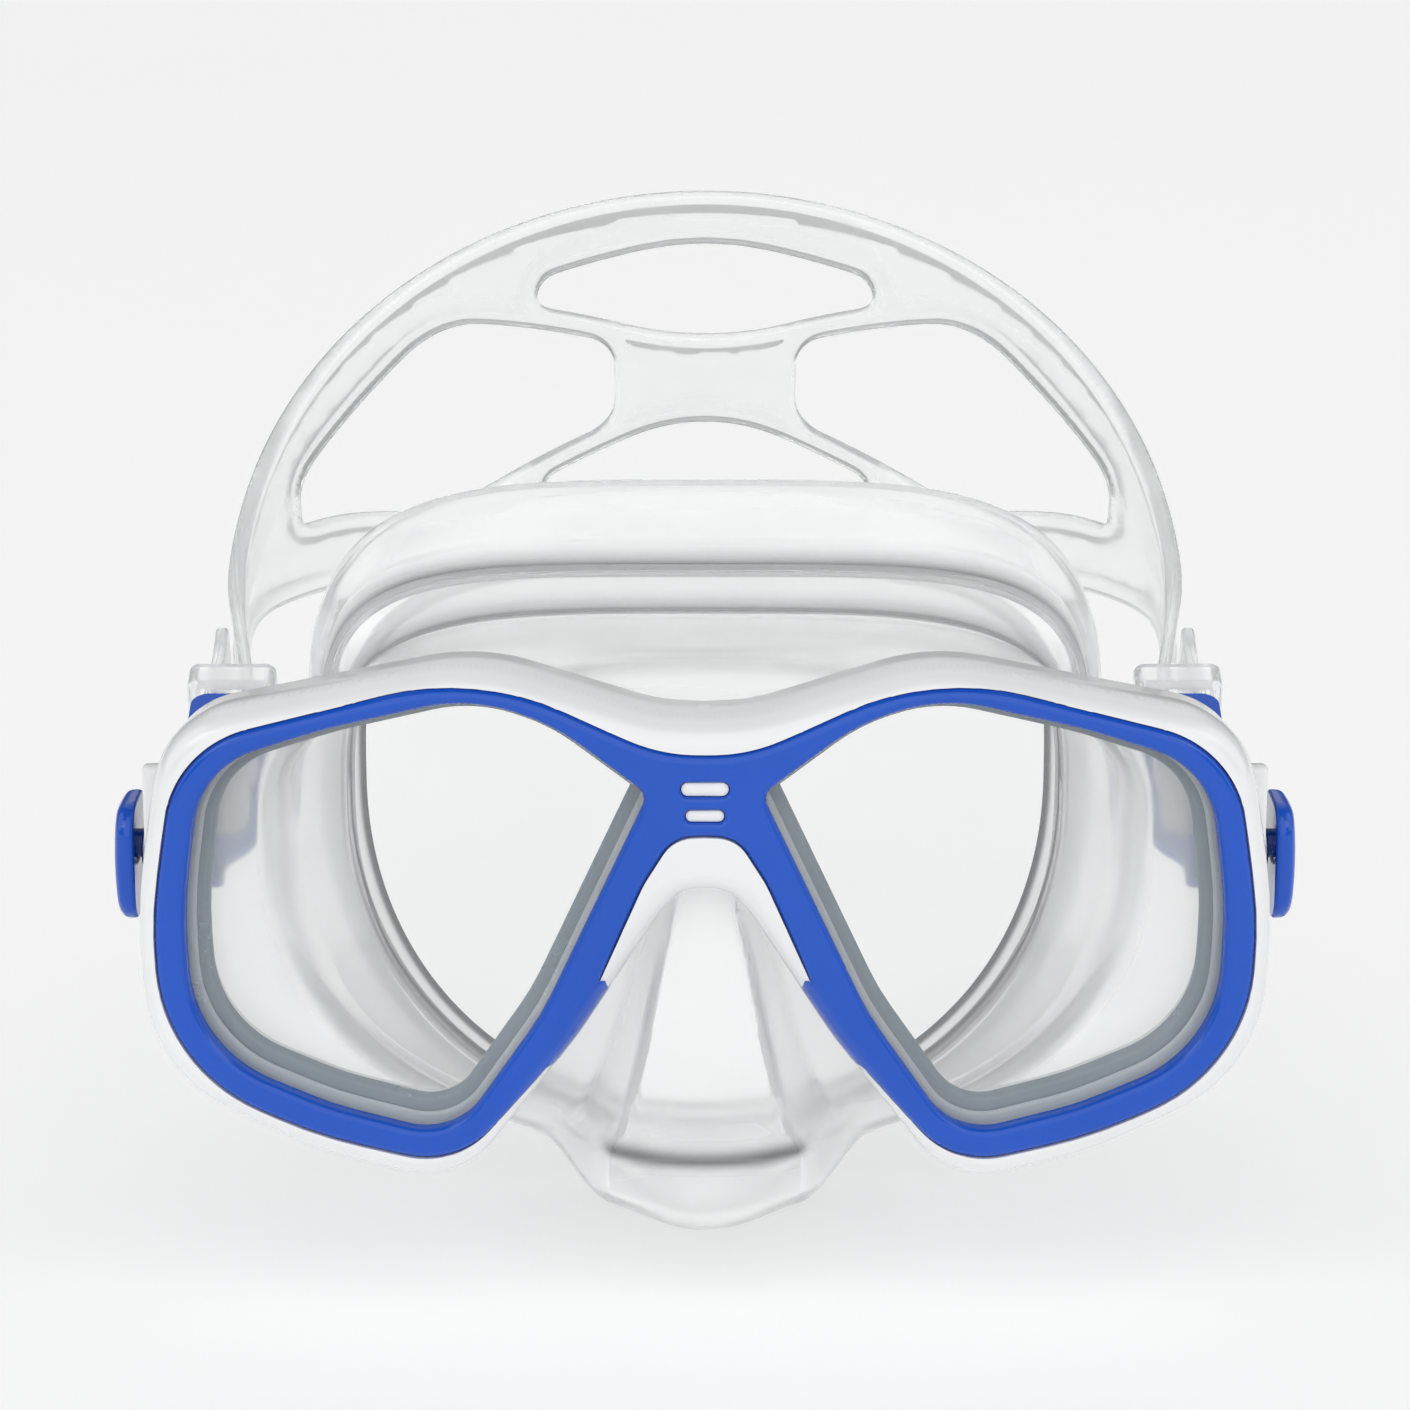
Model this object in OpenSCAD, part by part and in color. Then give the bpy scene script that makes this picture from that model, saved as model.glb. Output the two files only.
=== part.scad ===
// Twin-lens diving mask for a junior: white frame, blue bezel, clear skirt and clear split strap.
// Axes: +X to the viewer's right, +Y towards the wearer's face, +Z up. The face seal lies on Y = 0.
// "left" and "right" are the viewer's, looking at the front of the mask.

/* [Front] */
// Distance from the face seal to the front of the bezel, at the nose bridge
front_reach = 66; // [64:1:68]
// Angle that each half of the front is swept back
wrap_angle = 6; // [5:0.5:7]
// Depth of the front frame, bezel face to rear edge
frame_depth = 12; // [12:0.5:13]
// Thickness of the bezel
bezel_t = 2.3; // [2:0.1:2.6]
// Thickness of the tempered glass lenses
glass_t = 3; // [2.6:0.1:3.2]
// Thickness of the soft seat ring behind each lens
gasket_t = 2.7; // [2.4:0.1:2.9]
// How far each lens runs under the bezel
glass_lap = 2.4; // [2:0.1:2.6]

/* [Skirt] */
// Wall thickness of the silicone skirt
skirt_wall = 2; // [1.6:0.1:2.4]
// Half width of the face seal flange
seal_half_w = 57.5; // [55:0.5:58]
// Height of the face seal above eye level
seal_top = 44; // [42:0.5:46]
// Depth of the face seal below eye level
seal_bottom = 62; // [60:0.5:63]

/* [Strap] */
// Angle at which the strap rises from the buckles
strap_tilt = 20; // [10:1:30]
// Strap thickness
strap_t = 1.8; // [1.6:0.1:1.8]
// Width of the strap tails at the buckles
tail_w = 13; // [11:0.5:13.2]
// Height of the strap at the back of the head
rear_h = 68; // [62:1:72]
// Half width of the strap loop
loop_half_w = 70; // [68:0.5:72]
// Distance from the buckle pivots to the back of the loop
loop_length = 126; // [115:1:135]

/* [Buckles] */
// Depth of the buckle pivots in front of the face seal
pivot_depth = 36.5; // [36:0.1:37]
// Radius of the hollow pivot journal on each buckle
journal_r = 6; // [5.8:0.1:6.2]
// Radial clearance of the running fits
run_gap = 0.05; // [0.03:0.01:0.08]
// Travel of each push button
button_travel = 1.2; // [0.8:0.1:1.2]
// Height of the push button pads
button_h = 16.4; // [15:0.2:18]
// Length of the push button pads
button_l = 14; // [12:0.5:15]

/* [Hidden] */
$fn = 48;

white_plastic = "white";
blue_plastic = [0.08, 0.25, 0.75];
clear_silicone = [0.85, 0.9, 0.92, 0.5];
grey_silicone = [0.5, 0.6, 0.66];
glass_tint = [0.8, 0.92, 0.95, 0.35];
steel = [0.75, 0.75, 0.78];

// Half outlines of the front, in its own plane: [across, up, corner radius], clockwise from the top
LENS = [[20, 24, 26], [31, 27.4, 22], [50, 22.6, 60], [67, 16.8, 13.5], [69.8, -3, 60],
        [68.9, -22.6, 17], [50.5, -29.9, 40], [34, -33.6, 9.5], [22, -16, 40], [7.6, 15, 2]];
BEZEL = [[0, 20.5, 0], [6, 20.5, 22], [30, 30.6, 36], [70.2, 19.6, 16], [74, -5, 55],
         [72.6, -25.4, 22], [52, -34, 60], [33.6, -37.6, 12], [17.9, -19.5, 30], [8.2, 2.8, 14],
         [4.2, 9.3, 5], [0, 9.5, 0]];
FRAME = [[0, 24.9, 0], [7.5, 25.1, 22], [31, 31.8, 28], [72.5, 22.5, 13], [77.2, -4.5, 70],
         [75.2, -27, 20], [53, -37.2, 50], [33.6, -41.3, 12], [17.4, -19.6, 40], [6.4, -2.2, 12],
         [3, 1.3, 5], [0, 1.3, 0]];

// Depths of the stacked pieces behind the bezel face
glass_d = bezel_t;
gasket_d = glass_d + glass_t;
ledge_d = gasket_d + gasket_t;
skirt_d = frame_depth - 2;
seat_in = 2.3;             // how far the seat ring shows inside the bezel
ledge_in = 1.8;            // how far the frame's rear ledge reaches inside the bezel
seat_lift = 0.7;           // how far the seat and ledge openings sit above the middle of the glass
rim_w = 3;                 // width of the frame's rear rim

// Swivel: the buckle's journal turns in the frame's side lug
lug_x = [72.4, 75.4];      // inner and outer faces of the lug
lug_r = 9;
web_x = [70.6, 72.2];      // the buckle's disc, just inside the lug
journal_x = 76.3;          // outer end of the journal
ring_x = 75.5;             // inner face of the retaining ring
groove_r = journal_r - 0.5;
spring_r = 2.8;            // mean radius of the button spring
spring_wire = 0.5;
spring_turns = 5;
stem_r = 2;
pad_x = journal_x + button_travel + 0.1;
pad_t = 3;
button_drop = 1.5;         // how far the middle of the pad sits below the pivot

// Roller and pawl places in the harness plan: [outwards, back from the pivot]
roller_at = [67.4, 15];
roller_r = 2.3;
axle_r = 1;
turn_r = roller_r + 0.1 + strap_t / 2;
pawl_at = [69, 5.2];
pawl_pin_r = 0.9;
pawl_toe = [69.45, -0.2];
pawl_elbow = [71.9, 11.2];
cheek_z = [6.9, 8.3];
keeper_y = 29;
keeper_w = 4.5;

function unit(v) = v / norm(v);
function flat(p) = [p[0], p[1]];

// Points of one rounded corner p between its neighbours a and b
function corner(a, p, b, step = 9) =
    p[2] <= 0 ? [flat(p)] :
    let (u = unit(flat(a) - flat(p)),
         v = unit(flat(b) - flat(p)),
         open = acos(u * v),
         centre = flat(p) + unit(u + v) * p[2] / sin(open / 2),
         first = flat(p) + u * p[2] / tan(open / 2) - centre,
         start = atan2(first[1], first[0]),
         way = cross(u, v) > 0 ? -1 : 1,
         n = max(2, ceil((180 - open) / step)))
    [for (j = [0 : n]) centre + p[2] * [cos(start + way * (180 - open) * j / n),
                                        sin(start + way * (180 - open) * j / n)]];

// A polygon's points with every corner rounded to its own radius
function rounded(pts) =
    let (n = len(pts))
    [for (i = [0 : n - 1]) each corner(pts[(i + n - 1) % n], pts[i], pts[(i + 1) % n])];

function bezier(a, b, c, d, n = 10) =
    [for (i = [1 : n]) let (t = i / n) a * pow(1 - t, 3) + 3 * b * t * pow(1 - t, 2)
                                       + 3 * c * t * t * (1 - t) + d * pow(t, 3)];

// The outline of a band of thickness t along a path
function band(path, t) =
    let (n = len(path),
         side = [for (i = [0 : n - 1])
                 let (d = unit(path[min(i + 1, n - 1)] - path[max(i - 1, 0)])) [d[1], -d[0]] * t / 2])
    concat([for (i = [0 : n - 1]) path[i] + side[i]], [for (i = [n - 1 : -1 : 0]) path[i] - side[i]]);

module both() {
    children();
    mirror([1, 0, 0]) children();
}

// Picks the side: the pieces are drawn on the right and mirrored for the left
module on_side(side) {
    if (side > 0) children();
    else mirror([1, 0, 0]) children();
}

// Extrudes a flat shape in the plane of the right half of the front, from depth d
module on_front(d, t) {
    translate([0, -front_reach, 0]) rotate([0, 0, wrap_angle]) translate([0, d + t, 0])
        rotate([90, 0, 0]) linear_extrude(t) children();
}

// The right half of a flat shape, with a sliver past the middle so that the halves fuse
module right_half() {
    intersection() {
        children();
        translate([-0.4, -100]) square([100, 200]);
    }
}

module whole(outline) {
    polygon(rounded(outline));
    mirror([1, 0]) polygon(rounded(outline));
}

module lens_shape(grow) offset(r = grow) polygon(rounded(LENS));

module frame_shape(grow) right_half() offset(r = grow) whole(FRAME);

// The bezel's outline, with the tab that wraps over the frame beside the nose
module bezel_shape(grow) {
    right_half() offset(delta = grow) {
        whole(BEZEL);
        intersection() {
            whole(FRAME);
            both() polygon([[13.4, -11], [22, -8], [32, -20], [21.4, -23.6], [12, -21]]);
        }
    }
}

module front_frame() color(white_plastic) {
    shoulders = [[0.3, 3], [0.9, 1.8], [1.8, 1], [3.2, 0.4], [5.5, 0]];
    difference() {
        union() {
            both() for (s = shoulders) on_front(s[0], frame_depth - s[0]) frame_shape(-s[1]);
            both() side_lug();
        }
        both() on_front(-1, 1 + bezel_t) bezel_shape(0.05);
        both() on_front(bezel_t - 0.5, ledge_d - bezel_t + 0.5) lens_shape(glass_lap + 0.05);
        both() on_front(ledge_d - 0.5, 4) translate([0, seat_lift]) lens_shape(-ledge_in);
        both() on_front(skirt_d, 4) frame_shape(-rim_w);
        both() translate([lug_x[0] - 1, -pivot_depth, 0]) rotate([0, 90, 0])
            cylinder(r = journal_r + run_gap, h = 6);
    }
    bridge_ovals(0.5, bezel_t + 1, 0.06);
}

// Lug that carries the buckle: a round eye that widens into the frame's rim
module side_lug() {
    rear = wrap_y(76) + frame_depth - 0.8;
    translate([lug_x[0] + 0.3, 0, 0]) rotate([90, 0, 90]) linear_extrude(lug_x[1] - lug_x[0] - 0.3) hull() {
        translate([-pivot_depth, 0]) circle(r = lug_r);
        translate([rear, -14]) square([3, 28]);
    }
}

// Y of the front plane at a distance across it
function wrap_y(u) = -front_reach + u * sin(wrap_angle);

// Two ovals one above the other on the bridge: slots in the bezel, and the frame's raised pads that fill them
module bridge_ovals(depth, length, inset)
    for (oval = [[15.9, 6.6, 2.1], [12.3, 5.4, 1.8]])
        translate([0, -front_reach + depth, oval[0]]) rotate([-90, 0, 0]) linear_extrude(length) hull() both()
            translate([(oval[1] - oval[2]) / 2, 0]) circle(d = oval[2] - 2 * inset);

module bezel() color(blue_plastic) {
    difference() {
        both() on_front(0, bezel_t) bezel_shape(0);
        both() on_front(-1, bezel_t + 2) lens_shape(0);
        bridge_ovals(-1, 6, 0);
    }
}

module lens(side) color(glass_tint) on_side(side) on_front(glass_d, glass_t) lens_shape(glass_lap);

module lens_gasket(side) color(grey_silicone) on_side(side) on_front(gasket_d, gasket_t) difference() {
    lens_shape(glass_lap);
    translate([0, seat_lift]) lens_shape(-seat_in);
}

// One cross-section of the skirt, as seen from the front
module skirt_section(y, half_w, top, bottom) {
    translate([0, y, 0]) rotate([90, 0, 0]) linear_extrude(0.05) hull() {
        both() translate([half_w - 17, top - 18.5]) circle(r = 17, $fn = 32);
        both() translate([half_w - 24.5, -8]) circle(r = 24, $fn = 32);
        both() translate([half_w * 0.5, 20 - bottom]) circle(r = 16, $fn = 32);
        translate([0, top - 30]) circle(r = 30, $fn = 32);
        translate([0, 30 - bottom]) circle(r = 30, $fn = 32);
    }
}

// Joins neighbouring cross-sections, each [y, half width, top, bottom], shrunk by a wall thickness
module skirt_tube(sections, wall) {
    for (i = [0 : len(sections) - 2]) hull() for (s = [sections[i], sections[i + 1]])
        skirt_section(s[0], s[1] - wall, s[2] - wall, s[3] - wall);
}

// The swelling that covers the nose, drawn out of the notch in the frame
module nose_pocket(wall) {
    hull() {
        translate([0, -52, -6]) sphere(r = 6 - wall, $fn = 20);
        both() translate([8.5, -52.5, -34]) sphere(r = 6.5 - wall, $fn = 20);
        both() translate([13, -34, -46]) sphere(r = 9.5 - wall, $fn = 20);
        both() translate([18, -22, -18]) sphere(r = 12 - wall, $fn = 20);
    }
}

module skirt() color(clear_silicone) {
    collar = [-45.2, 59.8, 28, 41];
    mid = [-30, 57.5, 28.5, 47];
    neck = [-14, 55, 29, 53];
    step_a = [-14, 56, 31, 55];
    step_b = [-8, 56.3, 31.5, 56.5];
    flange_a = [-8, seal_half_w - 1, 34, 57.5];
    flange_b = [-1.2, seal_half_w, seal_top, seal_bottom];
    rim = [0, seal_half_w - 1, seal_top - 1, seal_bottom - 1];
    difference() {
        union() {
            both() on_front(skirt_d, 2) frame_shape(-rim_w - 0.05);
            both() hull() {
                on_front(frame_depth - 0.1, 0.1) frame_shape(-rim_w - 0.05);
                skirt_section(collar[0], collar[1], collar[2], collar[3]);
            }
            skirt_tube([collar, mid, neck], 0);
            skirt_tube([step_a, step_b], 0);
            skirt_tube([flange_a, flange_b, rim], 0);
            nose_pocket(0);
        }
        both() on_front(skirt_d - 1, 6) lens_shape(-3);
        both() hull() {
            on_front(frame_depth, 0.1) frame_shape(-rim_w - skirt_wall - 0.05);
            skirt_section(collar[0], collar[1] - skirt_wall, collar[2] - skirt_wall, collar[3] - skirt_wall);
        }
        skirt_tube([collar, mid, neck, step_b], skirt_wall);
        skirt_tube([step_b, [-2.6, seal_half_w - 2, seal_top - 7, seal_bottom - 3]], skirt_wall);
        skirt_tube([[-3, 50.5, 33, 53], [1, 50.5, 33, 53]], 0);
        nose_pocket(skirt_wall);
    }
}

// Everything that swings with the strap is drawn flat, then tilted about the pivots
module in_harness() translate([0, -pivot_depth, 0]) rotate([strap_tilt, 0, 0]) children();

// Middle line of the right half of the strap: round the head, in to the roller, round it and back
function strap_half() =
    let (a = loop_half_w - strap_t / 2,
         b = 66 - strap_t / 2,
         y0 = loop_length - 66,
         inner = [roller_at[0] - turn_r, roller_at[1] + 3],
         outer = [roller_at[0] + turn_r, roller_at[1]])
    concat([for (i = [1 : 18]) [a * sin(5 * i), y0 + b * cos(5 * i)]],
           bezier([a, y0], [a, y0 - 14], inner + [0, 14], inner, 8),
           [for (i = [0 : 9]) roller_at + turn_r * [-cos(20 * i), -sin(20 * i)]],
           bezier(outer, outer + [0, 9], [69.2, 34], [70.2, 46], 5));

// The whole middle line, from one free tail round the head to the other
function strap_path() =
    let (half = strap_half(), n = len(half))
    concat([for (i = [n - 1 : -1 : 0]) [-half[i][0], half[i][1]]],
           [[0, loop_length - strap_t / 2]], half);

// The strap's outline from the side: narrow at the buckle, deep behind the head
module strap_profile() {
    y0 = loop_length - 62;
    past = loop_length + 5;
    rise = (rear_h - tail_w) / 2 / (loop_length - y0);
    edge = [[4, tail_w / 2, 0], [y0, tail_w / 2, 40], [past, tail_w / 2 + rise * (past - y0), 0]];
    low = [for (i = [2 : -1 : 0]) [edge[i][0], -edge[i][1], edge[i][2]]];
    polygon(rounded(concat(edge, low)));
}

// Openings in the back of the strap, as seen from behind: one each side, one above, one below
module strap_windows() {
    k = rear_h / 68;
    side = [[14.5, 7.5 * k, 6.5], [42, 18 * k, 13], [63, 4.5 * k, 5],
            [63, -4.5 * k, 5], [42, -18 * k, 13], [14.5, -7.5 * k, 6.5]];
    upper = [[-36, 19.5 * k, 3.5], [0, 25.8 * k, 60], [36, 19.5 * k, 3.5], [0, 5.4 * k, 34]];
    both() polygon(rounded(side));
    polygon(rounded(upper));
    mirror([0, 1]) polygon(rounded(upper));
}

module strap() color(clear_silicone) in_harness() difference() {
    intersection() {
        translate([0, 0, -40]) linear_extrude(80) polygon(band(strap_path(), strap_t));
        rotate([90, 0, 90]) translate([0, 0, -90]) linear_extrude(180) strap_profile();
    }
    translate([0, loop_length + 4, 0]) rotate([90, 0, 0]) linear_extrude(66) strap_windows();
}

// Loop that holds the free tail against the strap
module keeper(side) color(clear_silicone) on_side(side) in_harness()
    translate([0, keeper_y + keeper_w / 2, 0]) rotate([90, 0, 0]) linear_extrude(keeper_w) difference() {
        translate([67.2, 0]) offset(r = 1.5) square([9.4, tail_w + 1], center = true);
        translate([67.2, 0]) square([9.8, tail_w + 0.8], center = true);
    }

// A cylinder along X, from one face to the other
module cross_pin(r, faces) translate([faces[0], 0, 0]) rotate([0, 90, 0])
    cylinder(r = r, h = faces[1] - faces[0]);

// A round pin or hole through both cheeks of a buckle
module cheek_pin(at, r, half_l = cheek_z[1]) translate([at[0], at[1], -half_l]) cylinder(r = r, h = 2 * half_l);

module buckle_body(side) color(blue_plastic) on_side(side) in_harness() difference() {
    union() {
        cross_pin(8.2, web_x);
        cross_pin(journal_r, [web_x[0], journal_x]);
        for (s = [-1, 1]) translate([0, 0, s > 0 ? cheek_z[0] : -cheek_z[1]])
            linear_extrude(cheek_z[1] - cheek_z[0])
            polygon(rounded([[72.2, 1.5, 0.5], [66.6, 1.5, 1], [66.6, 6.5, 3], [60.8, 12, 3],
                             [60.8, 24, 2.5], [72.2, 24, 2.5]]));
        cheek_pin([61.9, 21.5], 0.9, 7.5);
    }
    cross_pin(stem_r + run_gap, [web_x[0] - 1, journal_x + 1]);
    cross_pin(spring_r + 0.8, [web_x[1], journal_x + 1]);
    translate([web_x[0] - 0.1, 5.6, -3.2]) cube([2, 5, 6.4]);
    difference() {
        cross_pin(journal_r + 1, [ring_x - 0.02, ring_x + 0.62]);
        cross_pin(groove_r, [ring_x - 1, ring_x + 2]);
    }
    cheek_pin(roller_at, axle_r, 9);
    cheek_pin(pawl_at, pawl_pin_r, 9);
}

// C-shaped ring that snaps into the journal's groove, outside the lug
module retaining_ring(side) color(steel) on_side(side) in_harness() difference() {
    cross_pin(journal_r + 1.5, [ring_x, ring_x + 0.6]);
    cross_pin(groove_r, [ring_x - 1, ring_x + 2]);
    translate([ring_x - 1, -2, -12]) cube([3, 4, 8]);
}

module button_outline(inset) translate([0, -button_drop]) offset(r = 4 - inset)
    square([button_l - 8, button_h - 8], center = true);

module button(side) color(blue_plastic) on_side(side) translate([0, -pivot_depth, 0]) {
    stem_end = web_x[0] - 0.45;
    translate([stem_end, 0, 0]) rotate([0, 90, 0]) cylinder(h = 0.85, r1 = 0.5, r2 = stem_r);
    cross_pin(stem_r, [stem_end + 0.85, pad_x + 0.5]);
    translate([pad_x, 0, 0]) rotate([90, 0, 90]) {
        linear_extrude(pad_t - 1) button_outline(0);
        linear_extrude(pad_t - 0.4) button_outline(0.6);
        linear_extrude(pad_t) button_outline(1.6);
    }
}

// Round wire wound into a helix along X
module coil(radius, wire, faces, turns) {
    per_turn = 16;
    ring = 8;
    n = turns * per_turn;
    rise = (faces[1] - faces[0] - wire) / n;
    pts = [for (i = [0 : n]) for (k = [0 : ring - 1])
           let (a = 360 * i / per_turn,
                r = radius + wire / 2 * cos(360 * k / ring))
           [faces[0] + wire / 2 + rise * i + wire / 2 * sin(360 * k / ring), r * cos(a), r * sin(a)]];
    walls = [for (i = [0 : n - 1]) for (k = [0 : ring - 1])
             [i * ring + k, i * ring + (k + 1) % ring, (i + 1) * ring + (k + 1) % ring, (i + 1) * ring + k]];
    ends = [[for (k = [ring - 1 : -1 : 0]) k], [for (k = [0 : ring - 1]) n * ring + k]];
    polyhedron(pts, concat(walls, ends));
}

module button_spring(side) color(steel) on_side(side) in_harness()
    coil(spring_r, spring_wire, [web_x[1] + 0.02, pad_x - 0.02], spring_turns);

// One link of the pawl: a bar with rounded ends, from one point to another
module pawl_link(a, ra, b, rb) hull() {
    translate(a) circle(r = ra);
    translate(b) circle(r = rb);
}

// Lever that grips the strap against the roller until the button's stem tips it
module pawl(side) color(blue_plastic) on_side(side) in_harness()
    translate([0, 0, -2.6]) linear_extrude(5.2) difference() {
        union() {
            translate(pawl_at) circle(r = 1.5);
            pawl_link(pawl_at - [0.1, 0], 0.6, pawl_toe, 0.6);
            pawl_link(pawl_at, 1.1, pawl_elbow - [1.7, 1.3], 0.8);
            pawl_link(pawl_elbow - [1.7, 1.3], 0.8, pawl_elbow, 0.8);
            pawl_link(pawl_elbow, 0.8, [72.45, 14.5], 0.7);
        }
        translate(pawl_at) circle(r = pawl_pin_r + run_gap);
    }

module pawl_pin(side) color(steel) on_side(side) in_harness() cheek_pin(pawl_at, pawl_pin_r);

module roller(side) color(grey_silicone) on_side(side) in_harness() difference() {
    cheek_pin(roller_at, roller_r, cheek_z[0] - 0.1);
    cheek_pin(roller_at, axle_r + run_gap, 10);
}

module roller_axle(side) color(steel) on_side(side) in_harness() cheek_pin(roller_at, axle_r);

front_frame();
bezel();
lens(-1);  // lens_left
lens(1);  // lens_right
lens_gasket(-1);  // lens_gasket_left
lens_gasket(1);  // lens_gasket_right
skirt();
strap();
keeper(-1);  // keeper_left
keeper(1);  // keeper_right
buckle_body(-1);  // buckle_body_left
buckle_body(1);  // buckle_body_right
retaining_ring(-1);  // retaining_ring_left
retaining_ring(1);  // retaining_ring_right
button(-1);  // button_left
button(1);  // button_right
button_spring(-1);  // button_spring_left
button_spring(1);  // button_spring_right
pawl(-1);  // pawl_left
pawl(1);  // pawl_right
pawl_pin(-1);  // pawl_pin_left
pawl_pin(1);  // pawl_pin_right
roller(-1);  // roller_left
roller(1);  // roller_right
roller_axle(-1);  // roller_axle_left
roller_axle(1);  // roller_axle_right
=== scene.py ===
"""A twin-lens diving mask on a pale floor: white frame, blue bezel, clear silicone skirt and split strap.

Shapes are worked out in millimetres in the row frame (+X right, +Y to the face, +Z up) and turned into
metres as each mesh is made. The front pieces are drawn flat, in (across, up, depth), then swept back.
"""

import math

import bpy
import bmesh
import numpy as np
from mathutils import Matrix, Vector
from mathutils.geometry import delaunay_2d_cdt


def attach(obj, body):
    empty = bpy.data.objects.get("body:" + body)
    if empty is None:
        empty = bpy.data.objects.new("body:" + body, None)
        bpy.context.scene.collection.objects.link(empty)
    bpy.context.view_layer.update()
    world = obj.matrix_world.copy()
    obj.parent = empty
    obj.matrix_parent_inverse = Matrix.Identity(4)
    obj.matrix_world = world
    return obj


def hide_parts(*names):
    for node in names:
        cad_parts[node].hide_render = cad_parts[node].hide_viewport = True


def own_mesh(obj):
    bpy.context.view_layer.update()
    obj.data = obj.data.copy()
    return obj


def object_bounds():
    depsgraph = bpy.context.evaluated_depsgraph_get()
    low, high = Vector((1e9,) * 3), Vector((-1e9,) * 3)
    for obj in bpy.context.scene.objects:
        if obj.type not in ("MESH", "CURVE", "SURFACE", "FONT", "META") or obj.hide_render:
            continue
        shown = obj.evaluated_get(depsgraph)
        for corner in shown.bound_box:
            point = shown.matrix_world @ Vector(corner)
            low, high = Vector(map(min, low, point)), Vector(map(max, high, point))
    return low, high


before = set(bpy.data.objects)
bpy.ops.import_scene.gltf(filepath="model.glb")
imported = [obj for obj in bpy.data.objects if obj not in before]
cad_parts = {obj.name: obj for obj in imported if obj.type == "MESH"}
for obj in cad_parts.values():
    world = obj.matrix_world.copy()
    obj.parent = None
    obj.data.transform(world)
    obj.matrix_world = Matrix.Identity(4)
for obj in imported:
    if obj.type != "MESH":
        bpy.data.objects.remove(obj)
cad_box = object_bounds()

MM = 0.001
SIDES = {"left": -1, "right": 1}

# The front, with the same outlines as the CAD: [across, up, corner radius], clockwise from the top
FRONT_Y = -66.0
WRAP = math.radians(6)
LENS = [[20, 24, 26], [31, 27.4, 22], [50, 22.6, 60], [67, 16.8, 13.5], [69.8, -3, 60], [68.9, -22.6, 17],
        [50.5, -29.9, 40], [34, -33.6, 9.5], [22, -16, 40], [7.6, 15, 2]]
BEZEL = [[0, 20.5, 0], [6, 20.5, 22], [30, 30.6, 36], [70.2, 19.6, 16], [74, -5, 55],
         [72.6, -25.4, 22], [52, -34, 60], [33.6, -37.6, 12], [17.9, -19.5, 30], [8.2, 2.8, 14],
         [4.2, 9.3, 5], [0, 9.5, 0]]
FRAME = [[0, 24.9, 0], [7.5, 25.1, 22], [31, 31.8, 28], [72.5, 22.5, 13], [77.2, -4.5, 70],
         [75.2, -27, 20], [53, -37.2, 50], [33.6, -41.3, 12], [17.4, -19.6, 40], [6.4, -2.2, 12],
         [3, 1.3, 5], [0, 1.3, 0]]
TAB = [[13.4, -11, 0], [22, -8, 0], [32, -20, 0], [21.4, -23.6, 0], [12, -21, 0]]
SLOTS = [(15.9, 6.6, 2.1), (12.3, 5.4, 1.8)]  # height, length and width of each slot in the bridge

# Depths behind the bezel's face
BEZEL_T = 2.3
GASKET_D = 5.3
LEDGE_D = 8.0
SKIRT_D = 10.0
FRAME_D = 12.0
SHOULDER_D = 5.5
SHOULDER_W = 3.4
SHOULDER_TOP = 0.3
INSET_D = 0.45

# How far the seats reach out from the lens outline or in from it, and how far their openings are lifted
RIM_W = 2.9
POCKET_OUT = 2.5
SEAT_OUT = 2.2
SEAT_IN = 2.3
LEDGE_IN = 1.8
SEAT_LIFT = 0.7

# Buckles and strap
PIVOT_Y = -36.5
TILT = math.radians(20)
LUG_X = (72.7, 75.4)
LUG_R = 9.0
JOURNAL_R = 6.05
PAD_X = 77.6
PAD_T = 3.0
PAD_SIZE = (14.0, 16.4)
PAD_DROP = 1.5
STRAP_T = 1.8
TAIL_W = 13.0
REAR_H = 68.0
LOOP_W = 70.0
LOOP_L = 126.0
REAR_R = 66.0
END_R = 4.0
ROLLER = np.array([67.4, 15.0])
TURN_R = 2.3 + 0.1 + STRAP_T / 2


# ---------------------------------------------------------------- flat geometry

def rounded(corners, step=5.0):
    """Points of a closed polygon whose corners [x, y, radius] are turned into arcs."""
    out = []
    for i, (x, y, r) in enumerate(corners):
        p = np.array([x, y], float)
        if r <= 0:
            out.append(p)
            continue
        a = np.array(corners[i - 1][:2], float) - p
        b = np.array(corners[(i + 1) % len(corners)][:2], float) - p
        a /= np.linalg.norm(a)
        b /= np.linalg.norm(b)
        wide = math.acos(float(a @ b))
        centre = p + (a + b) / np.linalg.norm(a + b) * r / math.sin(wide / 2)
        first = p + a * r / math.tan(wide / 2) - centre
        start = math.atan2(first[1], first[0])
        way = 1 if a[0] * b[1] - a[1] * b[0] <= 0 else -1
        n = max(2, math.ceil(math.degrees(math.pi - wide) / step))
        for k in range(n + 1):
            t = start + way * (math.pi - wide) * k / n
            out.append(centre + r * np.array([math.cos(t), math.sin(t)]))
    return np.array(out)


def mirrored(half):
    """A closed loop from its right half, which runs from the top of the middle line to the bottom."""
    left = half[-2:0:-1] * [-1, 1]
    return np.vstack([half, left])


def resample(line, spacing, closed=True):
    """The same line with its points spread evenly."""
    pts = np.vstack([line, line[:1]]) if closed else np.asarray(line)
    s = np.concatenate([[0], np.cumsum(np.linalg.norm(np.diff(pts, axis=0), axis=1))])
    n = max(3, int(round(s[-1] / spacing)))
    t = np.linspace(0, s[-1], n + 1)
    out = np.stack([np.interp(t, s, pts[:, k]) for k in range(pts.shape[1])], -1)
    return out[:-1] if closed else out


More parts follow.
